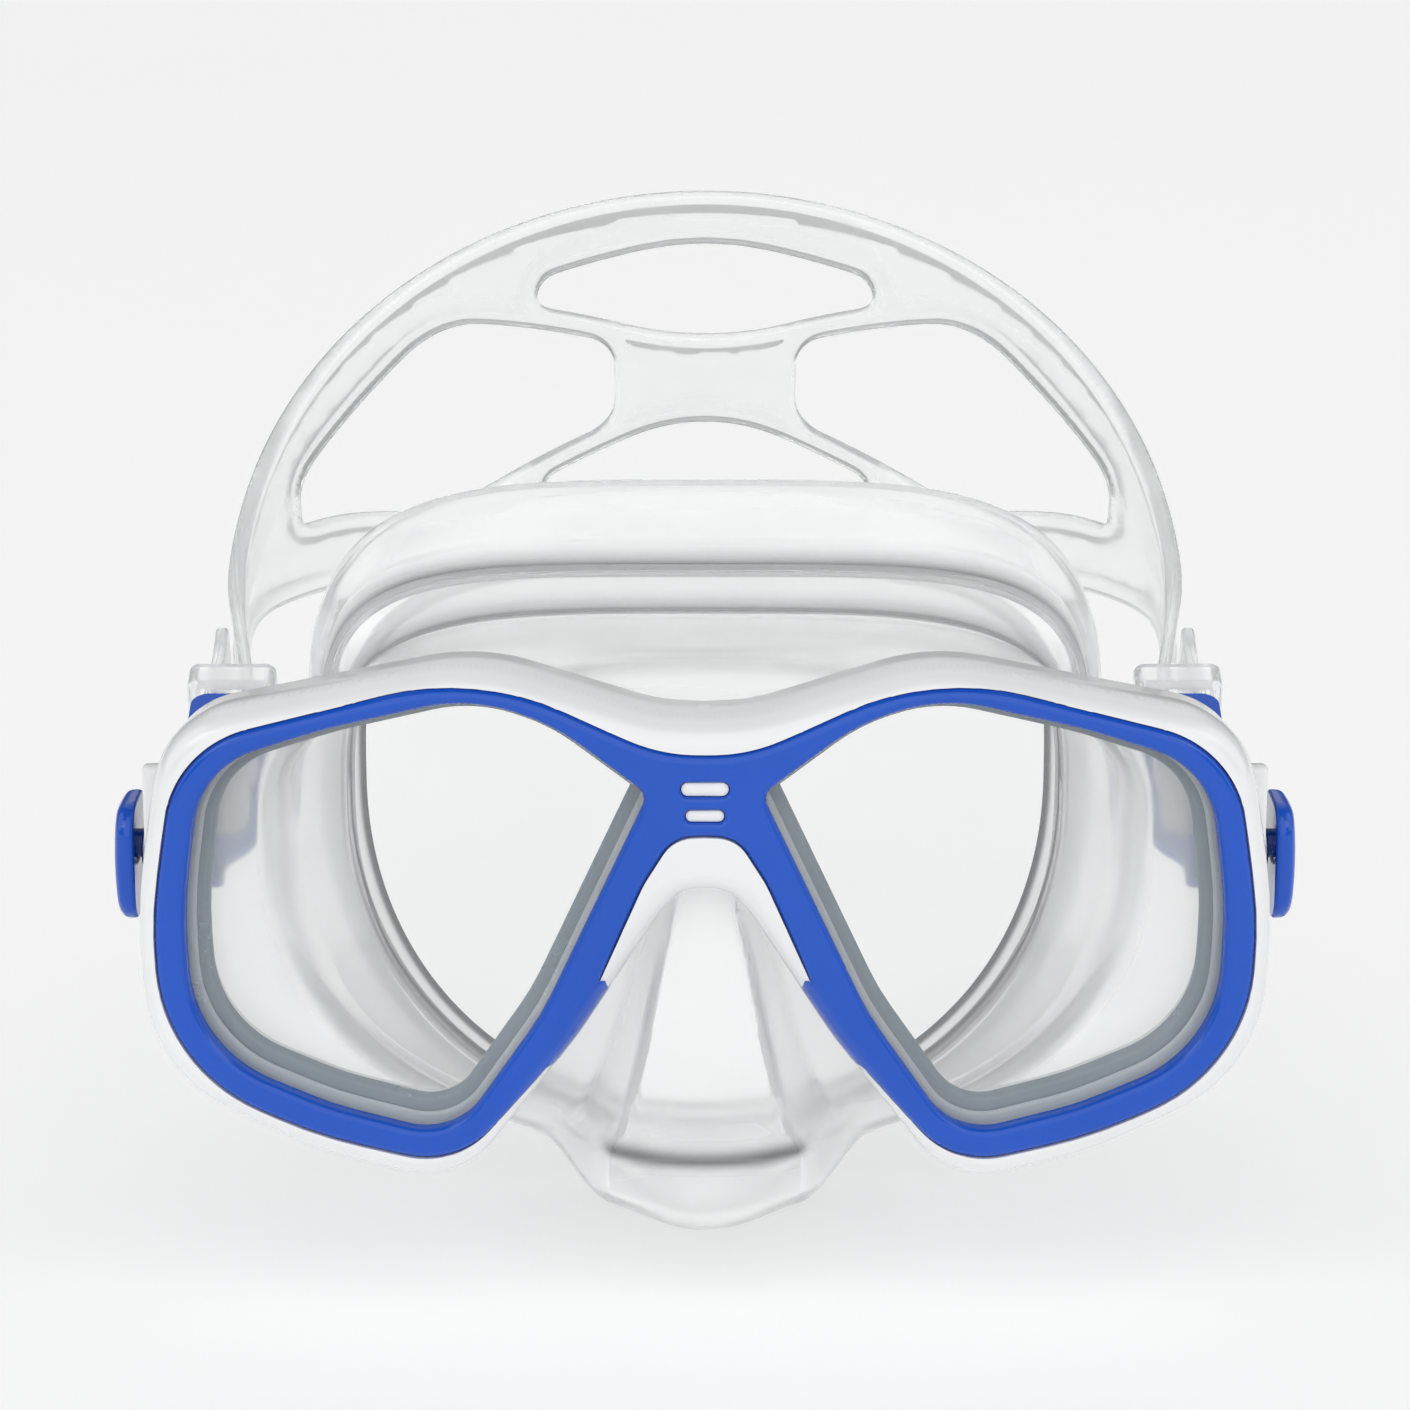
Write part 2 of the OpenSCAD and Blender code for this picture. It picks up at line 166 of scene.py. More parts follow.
def grow(loop, distance):
    """A clockwise closed loop moved outwards, or inwards if distance is negative."""
    d = np.roll(loop, -1, axis=0) - np.roll(loop, 1, axis=0)
    d /= np.linalg.norm(d, axis=1)[:, None]
    return loop + np.stack([-d[:, 1], d[:, 0]], -1) * distance


def inside(pts, loop):
    """Which points lie inside a closed loop."""
    a, b = loop, np.roll(loop, -1, axis=0)
    hit = np.zeros(len(pts), bool)
    x, y = pts[:, 0], pts[:, 1]
    for (ax, ay), (bx, by) in zip(a, b):
        if ay == by:
            continue
        cross = (ay > y) != (by > y)
        hit ^= cross & (x < (bx - ax) * (y - ay) / (by - ay) + ax)
    return hit


def gap(pts, segments):
    """Distance from each point to the nearest of some segments, given as an (n, 2, 2) array."""
    best = np.full(len(pts), 1e9)
    for a, b in segments:
        d = b - a
        t = np.clip(((pts - a) @ d) / max(float(d @ d), 1e-12), 0, 1)
        best = np.minimum(best, np.linalg.norm(pts - a - t[:, None] * d, axis=1))
    return best


def edges_of(loop):
    """The edges of a closed loop as an (n, 2, 2) array."""
    return np.stack([loop, np.roll(loop, -1, axis=0)], 1)


def triangulate(loops, free, segments=()):
    """Constrained triangles over closed loops, extra segments and free points."""
    pts, edges = [], []
    for loop in loops:
        n = len(pts)
        pts += [Vector(p) for p in loop]
        edges += [(n + i, n + (i + 1) % len(loop)) for i in range(len(loop))]
    for a, b in segments:
        edges.append((len(pts), len(pts) + 1))
        pts += [Vector(a), Vector(b)]
    pts += [Vector(p) for p in free]
    got = delaunay_2d_cdt(pts, edges, [], 0, 1e-4)
    return np.array([v[:] for v in got[0]]), np.array(got[2])


def border(flat, tris):
    """Directed edges that only one triangle has."""
    e = np.vstack([tris[:, [0, 1]], tris[:, [1, 2]], tris[:, [2, 0]]])
    seen = set(map(tuple, e.tolist()))
    return np.array([p for p in e.tolist() if (p[1], p[0]) not in seen])


class Region:
    """A flat region, finely triangulated near its border so that rounded edges come out smooth."""

    def __init__(self, loops, keep, rings=(), lattice=1.5, creases=()):
        flat, tris = triangulate(loops, [])
        tris = tris[keep(flat[tris].mean(1))]
        rim = flat[border(flat, tris)]
        free = []
        along = []
        for a, b in rim:
            n = max(1, int(np.linalg.norm(b - a) / 0.5))
            d = (b - a) / np.linalg.norm(b - a)
            for k in range(n):
                along.append((a + (b - a) * (k + 0.5) / n, np.array([-d[1], d[0]])))
        spots = np.array([p for p, _ in along])
        ways = np.array([w for _, w in along])
        for r in rings:
            p = spots + ways * r
            free.append(p[gap(p, rim) > 0.97 * r])
        lo, hi = rim.reshape(-1, 2).min(0), rim.reshape(-1, 2).max(0)
        rows = np.arange(lo[1], hi[1], lattice * 0.866)
        grid = np.array([(x + (i % 2) * lattice / 2, y) for i, y in enumerate(rows)
                         for x in np.arange(lo[0], hi[0], lattice)])
        grid = grid[keep(grid)]
        walls = np.vstack([rim] + [edges_of(c) for c in creases])
        free.append(grid[gap(grid, walls) > (max(rings) if len(rings) else 0) + 0.35 * lattice])
        free = np.vstack(free)
        flat, tris = triangulate(list(creases), free[keep(free)], rim)
        tris = tris[keep(flat[tris].mean(1))]
        used = np.unique(tris)
        index = np.full(len(flat), -1)
        index[used] = np.arange(len(used))
        self.flat, self.tris = flat[used], index[tris]
        self.rim = self.flat[border(self.flat, self.tris)]

    def from_rim(self, near=None, facing_down=False):
        """Distance of every point to the border, or to only the stretches on near or facing down."""
        rim = self.rim
        if near is not None:
            mid = rim.mean(1)
            rim = rim[np.min([gap(mid, edges_of(loop)) for loop in near], axis=0) < 0.02]
        if facing_down:
            run = rim[:, 1] - rim[:, 0]
            rim = rim[run[:, 0] > 0.25 * np.linalg.norm(run, axis=1)]
        return gap(self.flat, rim)


def quarter_round(distance, radius, height):
    """How far a surface drops near an edge that is rounded like a quarter of an ellipse."""
    t = 1 - np.clip(distance / radius, 0, 1)
    return height * (1 - np.sqrt(np.maximum(0, 1 - t * t)))


def smooth_step(t):
    """0 up to 0, 1 from 1, and a smooth rise between."""
    t = np.clip(t, 0, 1)
    return t * t * (3 - 2 * t)


# ---------------------------------------------------------------- solid geometry

def on_front(flat, depth):
    """Places flat points of the front at a depth, each half swept back and the middle blended."""
    u, z = flat[:, 0], flat[:, 1]
    soft = np.sqrt(u * u + 4)
    a = WRAP * u / soft
    x = u * math.cos(WRAP) - depth * np.sin(a)
    y = FRONT_Y + soft * math.sin(WRAP) + depth * np.cos(a)
    return np.stack([x, y, z], -1)


def in_harness(pts):
    """Turns points drawn flat, measured back from the pivots, to the strap's rest tilt."""
    c, s = math.cos(TILT), math.sin(TILT)
    return np.stack([pts[:, 0], PIVOT_Y + pts[:, 1] * c - pts[:, 2] * s, pts[:, 1] * s + pts[:, 2] * c], -1)


def tube_faces(rings, n):
    """Quads between neighbouring closed rings of n points each."""
    return [[i * n + k, i * n + (k + 1) % n, (i + 1) * n + (k + 1) % n, (i + 1) * n + k]
            for i in range(rings - 1) for k in range(n)]


def raw_mesh(name, pts, faces):
    """A mesh from points in millimetres."""
    mesh = bpy.data.meshes.new(name)
    mesh.from_pydata((np.asarray(pts) * MM).tolist(), [], [list(map(int, f)) for f in faces])
    return mesh


def make_piece(name, pts, faces, material, body, replaces=(), sharp=35.0, painted_shade=None):
    """A smooth-shaded piece from points in millimetres. The last argument, if given, is the painted shade of
    silicone at each point.
    """
    mesh = raw_mesh(name, pts, faces)
    if painted_shade is not None:
        mesh.attributes.new("painted_shade", "FLOAT", "POINT").data.foreach_set("value", painted_shade)
    tidy = bmesh.new()
    tidy.from_mesh(mesh)
    bmesh.ops.remove_doubles(tidy, verts=tidy.verts, dist=1e-6)
    bmesh.ops.recalc_face_normals(tidy, faces=tidy.faces)
    tidy.to_mesh(mesh)
    tidy.free()
    piece = bpy.data.objects.new(name, mesh)
    bpy.context.collection.objects.link(piece)
    mesh.materials.append(material)
    mesh.shade_smooth()
    mesh.set_sharp_from_angle(angle=math.radians(sharp))
    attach(piece, body)
    if replaces:
        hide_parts(*replaces)
    return piece


def thicken(region, front, back, place):
    """Points and faces of a closed solid between two depths of a region."""
    n = len(region.flat)
    rim = border(region.flat, region.tris)
    layers = [place(region.flat, front), place(region.flat, back)]
    faces = [list(t) for t in region.tris] + [[n + t[0], n + t[2], n + t[1]] for t in region.tris]
    faces += [[b, a, n + a, n + b] for a, b in rim]
    return np.vstack(layers), faces


def joined(*solids):
    """Several (points, faces) as one."""
    pts, faces, n = [], [], 0
    for p, f in solids:
        pts.append(p)
        faces += [[i + n for i in face] for face in f]
        n += len(p)
    return np.vstack(pts), faces


def apply_modifier(piece, kind, **settings):
    """Adds one modifier and bakes it into the mesh."""
    mod = piece.modifiers.new(kind.title(), kind)
    for key, value in settings.items():
        setattr(mod, key, value)
    bpy.context.view_layer.update()
    graph = bpy.context.evaluated_depsgraph_get()
    mesh = bpy.data.meshes.new_from_object(piece.evaluated_get(graph))
    piece.modifiers.remove(mod)
    piece.data = mesh


# ---------------------------------------------------------------- materials

def new_material(name):
    """(material, its nodes, its links, its Principled shader)."""
    mat = bpy.data.materials.new(name)
    mat.use_nodes = True
    nodes = mat.node_tree.nodes
    return mat, nodes, mat.node_tree.links, nodes["Principled BSDF"]


def noise(nodes, links, scale, detail=3.0):
    """A noise in the object's own space, as a node."""
    coord = nodes.new("ShaderNodeTexCoord")
    tex = nodes.new("ShaderNodeTexNoise")
    tex.inputs["Scale"].default_value = scale
    tex.inputs["Detail"].default_value = detail
    links.new(coord.outputs["Object"], tex.inputs["Vector"])
    return tex


def spread(nodes, links, source, low, high):
    """A Map Range from a noise to the values that it should drive."""
    remap = nodes.new("ShaderNodeMapRange")
    remap.inputs["From Min"].default_value = 0.3
    remap.inputs["From Max"].default_value = 0.7
    remap.inputs["To Min"].default_value = low
    remap.inputs["To Max"].default_value = high
    links.new(source, remap.inputs["Value"])
    return remap.outputs["Result"]


def bumped(nodes, links, shader, source, strength, distance):
    """A fine relief in the shader's surface, from a noise."""
    bump = nodes.new("ShaderNodeBump")
    bump.inputs["Strength"].default_value = strength
    bump.inputs["Distance"].default_value = distance
    links.new(source, bump.inputs["Height"])
    links.new(bump.outputs["Normal"], shader.inputs["Normal"])


def tinted(nodes, links, shader, factor, dark, light):
    """Colour that wanders between two close tones."""
    ramp = nodes.new("ShaderNodeValToRGB")
    ramp.color_ramp.elements[0].position = 0.3
    ramp.color_ramp.elements[1].position = 0.7
    ramp.color_ramp.elements[0].color = (*dark, 1)
    ramp.color_ramp.elements[1].color = (*light, 1)
    links.new(factor, ramp.inputs["Fac"])
    links.new(ramp.outputs["Color"], shader.inputs["Base Color"])


def moulded_plastic(name, dark, light, rough, coat, gloss=0.5):
    """Glossy injection-moulded plastic: faint flow marks in the colour, uneven gloss, a skin ripple."""
    mat, nodes, links, shader = new_material(name)
    flow = noise(nodes, links, 35, 4)
    tinted(nodes, links, shader, flow.outputs["Fac"], dark, light)
    haze = noise(nodes, links, 160, 5)
    gloss_map = spread(nodes, links, haze.outputs["Fac"], rough * 0.8, rough * 1.35)
    links.new(gloss_map, shader.inputs["Roughness"])
    skin = noise(nodes, links, 420, 2)
    bumped(nodes, links, shader, skin.outputs["Fac"], 0.06, 0.0002)
    shader.inputs["IOR"].default_value = 1.5
    shader.inputs["Specular IOR Level"].default_value = gloss
    shader.inputs["Coat Weight"].default_value = coat
    shader.inputs["Coat Roughness"].default_value = 0.06
    return mat


def silicone(name, dark, light, rough, clear, glow=0.0):
    """Moulded silicone: light goes through it bent and slightly scattered, with a fine ripple in the skin.

    Where a mesh carries the per-point shade attribute, its colour is darkened: painted shade, because the
    bent light alone leaves the grooves too pale. glow is a faint emission, painted light that stands for
    light scattered inside.
    """
    mat, nodes, links, shader = new_material(name)
    cloud = noise(nodes, links, 30, 3)
    tinted(nodes, links, shader, cloud.outputs["Fac"], dark, light)
    # Painted shade: the per-point attribute mixes the colour towards dark grey
    painted_shade = nodes.new("ShaderNodeAttribute")
    painted_shade.attribute_name = "painted_shade"
    shade = nodes.new("ShaderNodeMix")
    shade.data_type = "RGBA"
    links.new(painted_shade.outputs["Fac"], shade.inputs["Factor"])
    links.new(shader.inputs["Base Color"].links[0].from_socket, shade.inputs["A"])
    shade.inputs["B"].default_value = (0.06, 0.065, 0.07, 1)
    links.new(shade.outputs["Result"], shader.inputs["Base Color"])
    shader.inputs["Emission Color"].default_value = (0.95, 0.98, 1.0, 1)
    # Painted light: a faint emission wherever there is no painted shade
    if glow:
        lit = nodes.new("ShaderNodeMapRange")
        lit.inputs["To Min"].default_value = glow
        lit.inputs["To Max"].default_value = 0.0
        links.new(painted_shade.outputs["Fac"], lit.inputs["Value"])
        links.new(lit.outputs["Result"], shader.inputs["Emission Strength"])
    haze = noise(nodes, links, 120, 4)
    links.new(spread(nodes, links, haze.outputs["Fac"], rough * 0.7, rough * 1.5), shader.inputs["Roughness"])
    ripple = noise(nodes, links, 90, 3)
    bumped(nodes, links, shader, ripple.outputs["Fac"], 0.12, 0.0004)
    shader.inputs["IOR"].default_value = 1.41
    shader.inputs["Transmission Weight"].default_value = clear
    let_lamps_through(mat, nodes, links, shader, 0.6)
    return mat


def let_lamps_through(mat, nodes, links, shader, share):
    """Lets most of a lamp's light pass to what lies behind a clear piece."""
    path = nodes.new("ShaderNodeLightPath")
    part = nodes.new("ShaderNodeMath")
    part.operation = "MULTIPLY"
    part.inputs[1].default_value = share
    see = nodes.new("ShaderNodeBsdfTransparent")
    mix = nodes.new("ShaderNodeMixShader")
    links.new(path.outputs["Is Shadow Ray"], part.inputs[0])
    links.new(part.outputs[0], mix.inputs["Fac"])
    links.new(shader.outputs["BSDF"], mix.inputs[1])
    links.new(see.outputs["BSDF"], mix.inputs[2])
    links.new(mix.outputs["Shader"], nodes["Material Output"].inputs["Surface"])


def lens_glass():
    """Flat tempered glass, barely tinted, with the faintest unevenness in its polish."""
    mat, nodes, links, shader = new_material("lens_glass")
    polish = noise(nodes, links, 60, 2)
    tinted(nodes, links, shader, polish.outputs["Fac"], (0.955, 0.975, 0.97), (0.975, 0.985, 0.98))
    links.new(spread(nodes, links, polish.outputs["Fac"], 0.0, 0.015), shader.inputs["Roughness"])
    shader.inputs["IOR"].default_value = 1.45
    shader.inputs["Transmission Weight"].default_value = 1.0
    let_lamps_through(mat, nodes, links, shader, 0.9)
    return mat


def brushed_steel():
    """Stainless steel with a very fine grain."""
    mat, nodes, links, shader = new_material("stainless_steel")
    grain = noise(nodes, links, 700, 3)
    tinted(nodes, links, shader, grain.outputs["Fac"], (0.5, 0.5, 0.52), (0.66, 0.66, 0.68))
    links.new(spread(nodes, links, grain.outputs["Fac"], 0.18, 0.34), shader.inputs["Roughness"])
    bumped(nodes, links, shader, grain.outputs["Fac"], 0.1, 0.0001)
    shader.inputs["Metallic"].default_value = 1.0
    return mat


WHITE = moulded_plastic("white_plastic", (0.80, 0.81, 0.82), (0.84, 0.85, 0.86), 0.16, 0.5)
BLUE = moulded_plastic("blue_plastic", (0.003, 0.074, 0.49), (0.004, 0.082, 0.53), 0.13, 0.22, 0.35)
GREY = moulded_plastic("grey_plastic", (0.42, 0.45, 0.48), (0.48, 0.51, 0.54), 0.3, 0.1)
# clear_silicone carries a faint painted glow, an emission that stands for light scattered inside
CLEAR = silicone("clear_silicone", (0.955, 0.965, 0.965), (0.975, 0.98, 0.98), 0.13, 0.74, 0.022)
SMOKE = silicone("grey_silicone", (0.33, 0.39, 0.45), (0.40, 0.46, 0.52), 0.2, 0.35)
PALE = silicone("pale_silicone", (0.72, 0.76, 0.80), (0.80, 0.84, 0.88), 0.2, 0.4)
GLASS = lens_glass()
STEEL = brushed_steel()


# ---------------------------------------------------------------- the front

LENS_LOOP = resample(rounded(LENS), 0.8)
LENS_LOOPS = [LENS_LOOP, (LENS_LOOP * [-1, 1])[::-1]]
BEZEL_LOOP = resample(mirrored(rounded(BEZEL)), 0.8)
FRAME_LOOP = resample(mirrored(rounded(FRAME)), 0.8)


def lens_loops(distance, lift=0.0):
    """Both lens outlines, moved outwards and up."""
    return [grow(loop, distance) + [0, lift] for loop in LENS_LOOPS]


def in_any(pts, loops):
    """Which points lie inside at least one of the loops."""
    return np.any([inside(pts, loop) for loop in loops], axis=0)


def shoulder(distance):
    """Depth of the frame's rounded front, from the distance to its outline."""
    return SHOULDER_TOP + quarter_round(distance, SHOULDER_W, SHOULDER_D - SHOULDER_TOP)


def build_frame():
    """White frame: rounded shoulder, seat for the bezel and the glass, rear ledge, rim and side lugs."""
    openings = lens_loops(-LEDGE_IN, SEAT_LIFT)
    pocket = lens_loops(POCKET_OUT)
    slots = [slot_loop(*s) for s in SLOTS]
    # Each step between two depths is a narrow band between two creases
    creases = [grow(BEZEL_LOOP, d) for d in (0.12, 0.0)]
    creases += [grow(FRAME_LOOP, -RIM_W - d) for d in (0.0, 0.15)]
    creases += lens_loops(POCKET_OUT + 0.06) + lens_loops(POCKET_OUT - 0.06)
    creases += [grow(slot, -d) for slot in slots for d in (0.06, 0.14, 0.4)]
    region = Region([FRAME_LOOP] + openings, lambda p: inside(p, FRAME_LOOP) & ~in_any(p, openings),
                    rings=(0.03, 0.12, 0.3, 0.6, 1.0, 1.5, 2.1, 2.8), lattice=2.0, creases=creases)
    from_edge = region.from_rim([FRAME_LOOP])
    front = shoulder(from_edge)
    covered = inside(region.flat, grow(BEZEL_LOOP, 0.06))
    front[covered] = BEZEL_T
    front[covered & in_any(region.flat, pocket)] = LEDGE_D
    front[in_any(region.flat, [grow(slot, -0.1) for slot in slots])] = INSET_D + 0.15
    front[in_any(region.flat, [grow(slot, -0.3) for slot in slots])] = INSET_D
    rim = FRAME_D - quarter_round(from_edge, 0.5, 0.5)
    back = np.where(from_edge < RIM_W + 0.07, rim, SKIRT_D)
    pts, faces = thicken(region, front, back, on_front)
    frame_piece = make_piece("frame_shell", pts, faces, WHITE, "mask", ["front_frame"], 40)
    for side in SIDES.values():
        lug = build_lug(side)
        apply_modifier(frame_piece, "BOOLEAN", object=lug, operation="UNION", solver="EXACT")
        bpy.data.objects.remove(lug)
    frame_piece.data.set_sharp_from_angle(angle=math.radians(38))
    return frame_piece


def build_lug(side):
    """Round eye for the buckle's journal, widening into the rim."""
    turn = np.radians(np.arange(0, 360, 5))
    eye = np.stack([PIVOT_Y + LUG_R * np.cos(-turn), LUG_R * np.sin(-turn)], -1)
    root = FRONT_Y + 76 * math.sin(WRAP) + FRAME_D
    arm = rounded([[root - 2.8, 14.5, 1], [root - 0.2, 14.2, 2.2], [PIVOT_Y, LUG_R - 0.3, 0],
                   [PIVOT_Y, 0.3 - LUG_R, 0], [root - 0.2, -14.2, 2.2], [root - 2.8, -14.5, 1]])
    hole = np.stack([PIVOT_Y + JOURNAL_R * np.cos(-turn), JOURNAL_R * np.sin(-turn)], -1)
    region = Region([eye, arm, hole], lambda p: (inside(p, eye) | inside(p, arm)) & ~inside(p, hole),
                    rings=(0.05, 0.18, 0.4, 0.7), lattice=1.5)
    edge = quarter_round(region.from_rim(), 0.6, 0.6)
    pts, faces = thicken(region, LUG_X[1] - edge, LUG_X[0] + edge,
                         lambda flat, x: np.stack([side * x, flat[:, 0], flat[:, 1]], -1))
    mesh = raw_mesh("lug", pts, faces)
    work = bmesh.new()
    work.from_mesh(mesh)
    bmesh.ops.recalc_face_normals(work, faces=work.faces)
    work.to_mesh(mesh)
    work.free()
    mesh.shade_smooth()
    lug = bpy.data.objects.new("lug", mesh)
    bpy.context.collection.objects.link(lug)
    return lug


def build_bezel():
    """Blue ring round both lenses, crowned and rounded, with the tabs that wrap over the frame."""
    tab = rounded(TAB)
    tabs = [tab, (tab * [-1, 1])[::-1]]
    slots = [slot_loop(*s) for s in SLOTS]
    holes = LENS_LOOPS + slots

    def keep(p):
        body = inside(p, BEZEL_LOOP) | (in_any(p, tabs) & inside(p, FRAME_LOOP))
        return body & ~in_any(p, holes)

    region = Region([BEZEL_LOOP, FRAME_LOOP] + tabs + holes, keep,
                    rings=(0.04, 0.15, 0.35, 0.65, 1.0, 1.5), lattice=1.2)
    to_lens = region.from_rim(LENS_LOOPS)
    to_slot = region.from_rim(slots)
    to_side = region.from_rim([BEZEL_LOOP] + tabs)
    to_frame = gap(region.flat, edges_of(FRAME_LOOP))
    over = shoulder(to_frame) - SHOULDER_TOP
    edge = quarter_round(to_side, 1.2, 1.0)
    edge = np.maximum(edge, quarter_round(to_lens, 1.0, 0.9))
    edge = np.maximum(edge, quarter_round(to_slot, 0.5, 0.5))
    front = np.maximum(edge, over)
    back = np.where(inside(region.flat, BEZEL_LOOP), BEZEL_T, front + 0.9)
    pts, faces = thicken(region, front, np.maximum(back, front + 0.4), on_front)
    return make_piece("bezel_ring", pts, faces, BLUE, "mask", ["bezel"], 50)


def slot_loop(height, length, width):
    """A slot with round ends across the middle of the bridge, clockwise."""
    turn = np.radians(np.arange(0, 360, 12))
    x = width / 2 * np.sin(turn) + np.where(np.sin(turn) >= 0, 1, -1) * (length - width) / 2
    return np.stack([x, height + width / 2 * np.cos(turn)], -1)


def build_gaskets():
    """Translucent seat ring round the inside of each lens, and the paler lip that touches the glass."""
    for name, side in SIDES.items():
        loop = LENS_LOOPS[0] if side > 0 else LENS_LOOPS[1]
        rings = [(f"seat_ring_{name}", SMOKE, grow(loop, SEAT_OUT), grow(loop, -SEAT_IN) + [0, SEAT_LIFT],
                  GASKET_D + 0.75, LEDGE_D - 0.1, 0.7),
                 (f"seat_lip_{name}", PALE, grow(loop, 1.0), grow(loop, -0.75) + [0, 0.2],
                  GASKET_D + 0.1, GASKET_D + 0.6, 0.25)]
        for ring, material, outer, inner, near, far, soft in rings:
            region = Region([outer, inner], lambda p: inside(p, outer) & ~inside(p, inner),
                            rings=(0.05, 0.2, 0.45, 0.8), lattice=1.5)
            front = near + quarter_round(region.from_rim([inner]), soft, soft)
            pts, faces = thicken(region, front, np.full(len(front), far), on_front)
            make_piece(ring, pts, faces, material, "mask", [f"lens_gasket_{name}"], 50)


# ---------------------------------------------------------------- the skirt

def ring_half(w, top, bottom, n_top, n_bottom):
    """Right half of a skirt cross-section: superellipses above and below eye level, top to bottom."""
    t = np.linspace(math.pi / 2, -math.pi / 2, 400)
    c, s = np.cos(t).clip(0), np.abs(np.sin(t))
    n = np.where(t > 0, n_top, n_bottom)
    x = w * c ** (2 / n)
    z = np.where(t > 0, top, -bottom) * s ** (2 / n)
    return np.stack([x, z], -1)


def split_even(half, side_at, cheek_at, counts):
    """Resamples a half ring so that its side and cheek points fall at the same index in every ring."""
    parts = [half[: side_at + 1], half[side_at: cheek_at + 1], half[cheek_at:]]
    out = []
    for part, n in zip(parts, counts):
        s = np.concatenate([[0], np.cumsum(np.linalg.norm(np.diff(part, axis=0), axis=1))])
        t = np.linspace(0, s[-1], n + 1)[:-1]
        out.append(np.stack([np.interp(t, s, part[:, k]) for k in range(part.shape[1])], -1))
    return np.vstack(out + [half[-1:]])


COUNTS = (56, 34, 60)


def tube_ring(y, w, top, bottom, n_top, n_bottom):
    """One ring of the skirt's tube, square to the line of sight."""
    half = ring_half(w, top, bottom, n_top, n_bottom)
    side_at = int(np.argmax(half[:, 0] - 0.02 * np.abs(half[:, 1])))
    low = np.arange(side_at, len(half))
    cheek_at = int(low[np.argmin(np.abs(half[low, 0] - 0.56 * w))])
    xz = split_even(half, side_at, cheek_at, COUNTS)
    return np.stack([xz[:, 0], np.full(len(xz), y), xz[:, 1]], -1)


def front_ring(depth):
    """The skirt's front edge, just inside the frame's rim."""
    loop = grow(FRAME_LOOP, -RIM_W - 0.3)
    half = loop[: len(loop) // 2 + 1]
    half = half[half[:, 0] >= -0.01]
    side_at = int(np.argmax(half[:, 0]))
    cheek_at = int(np.argmin(half[:, 1] - 0.15 * half[:, 0]))
    xz = split_even(half, side_at, cheek_at, COUNTS)
    xz[0, 0] = xz[-1, 0] = 0
    return on_front(xz, np.full(len(xz), depth))


def catmull(keys, t):
    """Smooth curve that passes its keys at whole values of t. A key may be a point or a whole ring."""
    keys = np.asarray(keys, float)
    i = int(min(max(math.floor(t), 0), len(keys) - 2))
    f = t - i
    a = keys[max(i - 1, 0)]
    b, c = keys[i], keys[i + 1]
    d = keys[min(i + 2, len(keys) - 1)]
    square = 2 * a - 5 * b + 4 * c - d
    cube = 3 * b - 3 * c + d - a
    return 0.5 * (2 * b + (c - a) * f + square * f * f + cube * f ** 3)


# The nose pocket: at each stage back along the skirt, how far the middle line is carried
# [forward, down], and the half widths of the pocket's flat front and of its foot
POCKET = [
    [0.0, 0.0, 2, 5],
    [6.0, 0.5, 5, 10],
    [9.5, 1.0, 8, 14],
    [11.8, 0.5, 11, 18],
    [12.6, -1.5, 13, 21],
    [13.8, 3.0, 13, 23],
    [12.7, 6.0, 12, 24],
    [9.0, 7.5, 11, 24],
    [3.5, 5.2, 10, 24],
    [0.0, 0.0, 9, 24],
]
POCKET_STAGES = (0, 0.25, 0.5, 0.75, 1.0, 1.3, 1.6, 2.0, 2.4, 3.0)


def with_pocket(ring, stage):
    """Pushes the lower middle of a ring out into the nose pocket."""
    at = np.interp(stage, POCKET_STAGES, range(len(POCKET)))
    forward, down, flat_w, foot_w = catmull(POCKET, at)
    x = np.abs(ring[:, 0])
    lower = np.arange(len(ring)) >= COUNTS[0] + COUNTS[1]
    rise = smooth_step((foot_w - x) / (foot_w - flat_w)) * lower
    dome = np.exp(-(x / 10.5) ** 2.6) * lower
    out = ring.copy()
    out[:, 1] -= forward * rise
    out[:, 2] -= down * (rise + smooth_step(stage - 0.9) * (dome - rise))
    return out


def skirt_rings():
    """Every ring of the skirt's outer face, from the frame to the edge of the face seal."""
    tube = [
        front_ring(FRAME_D + 0.2),
        tube_ring(-45.6, 60.3, 27.5, 40, 3.2, 2.3),
        tube_ring(-31.0, 57.0, 27.5, 46, 3.5, 2.2),
        tube_ring(-16.5, 52.3, 27.6, 51, 3.7, 2.1),
    ]
    rings = [front_ring(SKIRT_D + 0.1)]
    stages = np.concatenate([np.linspace(0, 1, 30), np.linspace(1, 2, 22)[1:], np.linspace(2, 3, 14)[1:]])
    rings += [with_pocket(catmull(tube, s), s) for s in stages]
    steps = [
        (-14.8, 52.2, 27.8, 51.4, 3.7), (-14.3, 51.8, 27.4, 51.0, 3.7), (-13.8, 51.7, 27.3, 50.9, 3.7),
        (-13.3, 52.2, 27.9, 51.5, 3.8), (-13.0, 53.4, 29.3, 52.9, 3.8), (-12.5, 54.1, 30.4, 53.7, 3.9),
        (-11.2, 54.7, 31.9, 54.5, 4.1), (-10.0, 55.1, 33.1, 55.1, 4.3), (-9.5, 54.9, 33.0, 55.0, 4.4),
        (-9.1, 54.3, 32.5, 54.5, 4.4), (-8.6, 54.3, 32.6, 54.6, 4.5), (-8.2, 55.0, 33.7, 55.5, 4.5),
        (-7.9, 56.0, 35.2, 56.7, 4.4), (-7.2, 56.5, 36.4, 57.6, 4.3), (-5.8, 56.9, 38.4, 59.0, 4.1),
        (-4.4, 57.2, 40.2, 60.0, 4.0), (-3.0, 57.4, 41.9, 60.9, 3.9), (-1.8, 57.4, 43.0, 61.4, 3.8),
        (-1.0, 57.2, 43.4, 61.6, 3.8),
    ]
    rings += [tube_ring(y, w, top, bottom, n, 2.0) for y, w, top, bottom, n in steps]
    return rings


